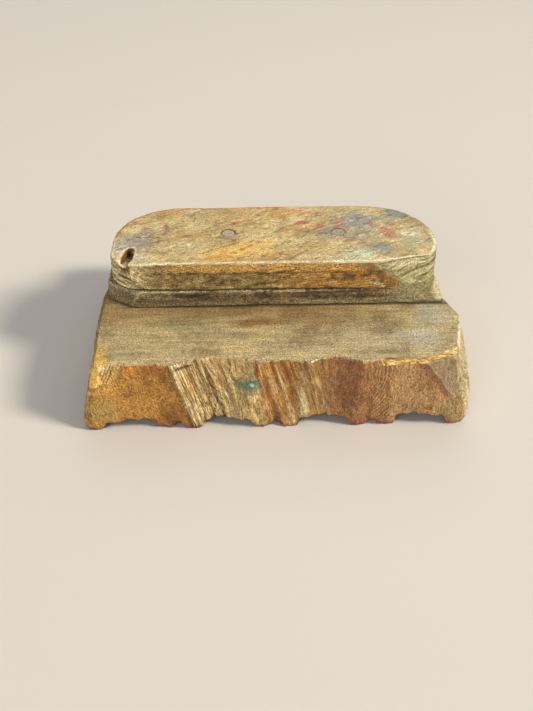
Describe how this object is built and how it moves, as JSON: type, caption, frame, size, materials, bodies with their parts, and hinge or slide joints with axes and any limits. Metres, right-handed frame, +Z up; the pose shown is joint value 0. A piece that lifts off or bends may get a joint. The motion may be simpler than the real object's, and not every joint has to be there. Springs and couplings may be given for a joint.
{
  "type": "wooden textile printing block",
  "caption": "Hand-held wooden stamp for printing cloth: a chopped hardwood block with a carved floral relief underneath and a pegged two-board handle on top.",
  "frame": {"origin": "middle of the printing face, on the plane that touches the cloth", "axes": "+Z up from the printing face to the grip, +X along the handle, the wide ledge and the chopped front at -Y"},
  "size_m": [0.1519, 0.112, 0.0507],
  "materials": {
    "block_wood": "raw hardwood, chopped and split, dye stained on the relief",
    "riser_wood": "raw hardwood, dark and dirty from handling",
    "grip_wood": "raw hardwood worn by the palm, with old dye stains",
    "peg_wood": "end grain, grey with dirt"
  },
  "bodies": {
    "root": {"printing_block": "block_wood", "handle_riser": "riser_wood", "handle_grip": "grip_wood", "peg_left": "peg_wood", "peg_right": "peg_wood"}
  },
  "joints": []
}
